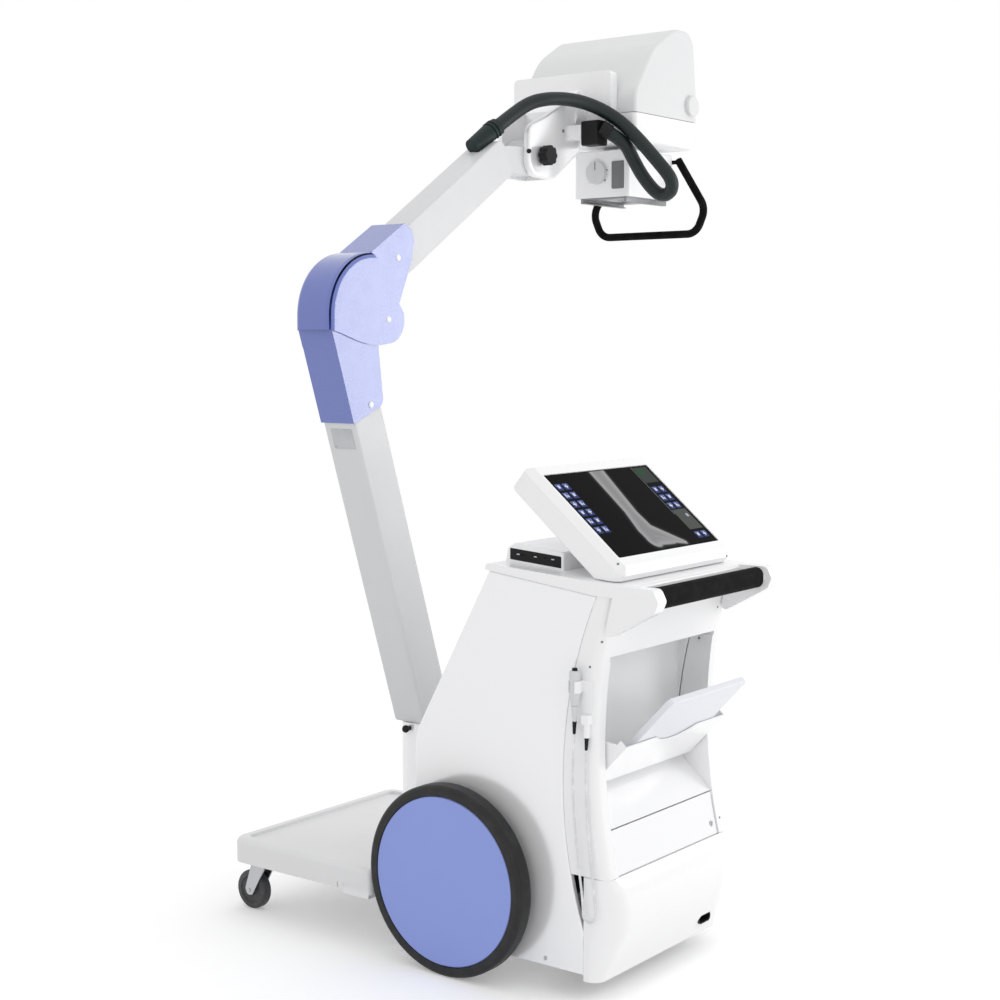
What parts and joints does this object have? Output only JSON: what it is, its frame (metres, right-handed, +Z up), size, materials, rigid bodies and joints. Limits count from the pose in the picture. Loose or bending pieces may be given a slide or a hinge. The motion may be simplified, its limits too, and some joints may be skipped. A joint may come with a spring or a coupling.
{
  "type": "mobile x-ray machine",
  "caption": "Wheeled x-ray cart with a leaning column, balanced arm, tube head with collimator and hose, tilted monitor and detector bin.",
  "frame": {"origin": "on the floor under the middle of the whole machine's bounding box, in the pose of the picture", "axes": "+X towards the operator's handle, +Y the way the arm reaches, +Z up"},
  "size_m": [1.2796, 1.38, 2.321],
  "materials": {
    "white_paint": "gloss",
    "white_moulding": "gloss",
    "frame_paint": "satin",
    "blue_moulding": "gloss",
    "black_plastic": "satin",
    "black_grip": "satin",
    "tyre": "matte",
    "caster_rubber": "matte",
    "steel": "brushed",
    "chrome": "polished",
    "wheel_paint": "satin",
    "hose": "satin",
    "cord": "satin",
    "grey_plastic": "satin",
    "detector_grey": "satin",
    "screen_glass": "gloss",
    "tank": "satin"
  },
  "bodies": {
    "cart": {"base_frame": "frame_paint", "front_platform": "white_moulding", "drive_axle": "steel", "turret_post": "white_paint", "side_panel_near": "white_paint", "side_panel_far": "white_paint", "front_cover": "white_paint", "rear_frame": "white_moulding", "rear_bumper": "white_moulding", "recess_liner": "white_moulding", "power_inlet": "black_plastic", "console_top": "white_moulding", "handle_grip": "black_grip", "connector_box": "white_moulding", "connector_panel": "black_plastic", "monitor_bracket": "steel", "hv_generator": "tank", "battery_pack": "black_plastic", "switch_holder": "white_moulding", "switch_cord": "cord", "caster_plate_near": "black_plastic", "caster_plate_far": "black_plastic"},
    "wheel_near": {"hub_near": "wheel_paint", "tyre_near": "tyre", "disc_near": "blue_moulding"},
    "wheel_far": {"hub_far": "wheel_paint", "tyre_far": "tyre", "disc_far": "blue_moulding"},
    "caster_near": {"caster_fork_near": "steel"},
    "caster_far": {"caster_fork_far": "steel"},
    "roller_near": {"caster_wheel_near": "caster_rubber"},
    "roller_far": {"caster_wheel_far": "caster_rubber"},
    "monitor": {"monitor_housing": "white_moulding", "monitor_screen": "screen_glass"},
    "bin": {"detector_bin": "white_moulding"},
    "detector": {"detector_panel": "detector_grey"},
    "door": {"lower_door": "white_paint"},
    "latch": {"door_latch": "chrome"},
    "hand_switch": {"hand_switch": "grey_plastic"},
    "exposure_button": {"switch_button": "black_plastic"},
    "lock": {"swivel_lock": "black_plastic"},
    "column": {"column": "white_paint", "balance_spring": "tank", "elbow_pin": "steel", "elbow_lower_cover": "blue_moulding"},
    "arm": {"upper_arm": "white_paint", "elbow_upper_cover": "blue_moulding", "hose_boot": "hose", "hv_hose": "hose"},
    "bracket": {"head_bracket": "white_paint", "cable_block": "black_plastic"},
    "tilt_clamp": {"tilt_knob": "black_plastic"},
    "head": {"head_cover": "white_moulding", "head_base": "white_moulding", "xray_tube": "tank"},
    "collimator": {"collimator_body": "white_moulding", "filter_rails": "black_plastic", "head_handle": "black_grip"},
    "dial": {"field_dial": "grey_plastic"},
    "lamp": {"lamp_button": "black_plastic"}
  },
  "joints": [
    {"name": "wheel_near_spin", "type": "hinge", "parent": "cart", "child": "wheel_near", "pos_m": [0.10714, -0.597, 0.223], "axis": [0, 1, 0], "continuous": true},
    {"name": "wheel_far_spin", "type": "hinge", "parent": "cart", "child": "wheel_far", "pos_m": [0.10714, 0.003, 0.223], "axis": [0, 1, 0], "continuous": true},
    {"name": "caster_near_swivel", "type": "hinge", "parent": "cart", "child": "caster_near", "pos_m": [-0.55686, -0.54, 0.12], "axis": [0, 0, 1], "continuous": true},
    {"name": "caster_far_swivel", "type": "hinge", "parent": "cart", "child": "caster_far", "pos_m": [-0.55686, -0.054, 0.12], "axis": [0, 0, 1], "continuous": true},
    {"name": "caster_near_roll", "type": "hinge", "parent": "caster_near", "child": "roller_near", "pos_m": [-0.58986, -0.54, 0.05], "axis": [0, 1, 0], "continuous": true},
    {"name": "caster_far_roll", "type": "hinge", "parent": "caster_far", "child": "roller_far", "pos_m": [-0.58986, -0.054, 0.05], "axis": [0, 1, 0], "continuous": true},
    {"name": "monitor_tilt", "type": "hinge", "parent": "cart", "child": "monitor", "pos_m": [0.44314, -0.297, 0.95137], "axis": [0, 1, 0], "range_deg": [-12, 0]},
    {"name": "bin_tilt", "type": "hinge", "parent": "cart", "child": "bin", "pos_m": [0.43746, -0.297, 0.48266], "axis": [0, 1, 0], "range_deg": [-38, 0]},
    {"name": "detector_lift", "type": "slide", "parent": "bin", "child": "detector", "axis": [0.682, 0, 0.7314], "range_m": [0, 0.05]},
    {"name": "door_swing", "type": "hinge", "parent": "cart", "child": "door", "pos_m": [0.48892, -0.297, 0.378], "axis": [0, -1, 0], "range_deg": [0, 80]},
    {"name": "latch_turn", "type": "hinge", "parent": "door", "child": "latch", "pos_m": [0.50655, -0.102, 0.311], "axis": [1, 0, 0], "range_deg": [0, 90]},
    {"name": "hand_switch_lift", "type": "slide", "parent": "cart", "child": "hand_switch", "axis": [0, 0, 1], "range_m": [0, 0.1]},
    {"name": "exposure_press", "type": "slide", "parent": "hand_switch", "child": "exposure_button", "axis": [0, 0, -1], "range_m": [0, 0.004], "stiffness_N_per_m": 400},
    {"name": "swivel_lock_pull", "type": "slide", "parent": "cart", "child": "lock", "axis": [0, -1, 0], "range_m": [0, 0.008], "stiffness_N_per_m": 500},
    {"name": "column_swivel", "type": "hinge", "parent": "cart", "child": "column", "pos_m": [-0.22286, -0.297, 0.47], "axis": [0, 0, 1], "range_deg": [-90, 180]},
    {"name": "arm_lift", "type": "hinge", "parent": "column", "child": "arm", "pos_m": [-0.22286, -0.487, 1.507], "axis": [1, 0, 0], "range_deg": [-35, 15]},
    {"name": "head_tilt", "type": "hinge", "parent": "arm", "child": "bracket", "pos_m": [-0.22286, 0.13314, 1.94392], "axis": [1, 0, 0], "range_deg": [0, 90], "deforming": ["hv_hose"]},
    {"name": "tilt_clamp_turn", "type": "hinge", "parent": "bracket", "child": "tilt_clamp", "pos_m": [-0.14786, 0.13314, 1.94392], "axis": [1, 0, 0], "range_deg": [0, 180]},
    {"name": "head_roll", "type": "hinge", "parent": "bracket", "child": "head", "pos_m": [-0.22286, 0.315, 2.07], "axis": [0, 1, 0], "range_deg": [-90, 90], "deforming": ["hv_hose"]},
    {"name": "collimator_swivel", "type": "hinge", "parent": "head", "child": "collimator", "pos_m": [-0.18386, 0.551, 1.98], "axis": [0, 0, 1], "range_deg": [-45, 45]},
    {"name": "dial_turn", "type": "hinge", "parent": "collimator", "child": "dial", "pos_m": [-0.19686, 0.435, 1.925], "axis": [0, -1, 0], "range_deg": [-135, 135]},
    {"name": "lamp_press", "type": "slide", "parent": "collimator", "child": "lamp", "axis": [0, 1, 0], "range_m": [0, 0.002], "stiffness_N_per_m": 600}
  ]
}
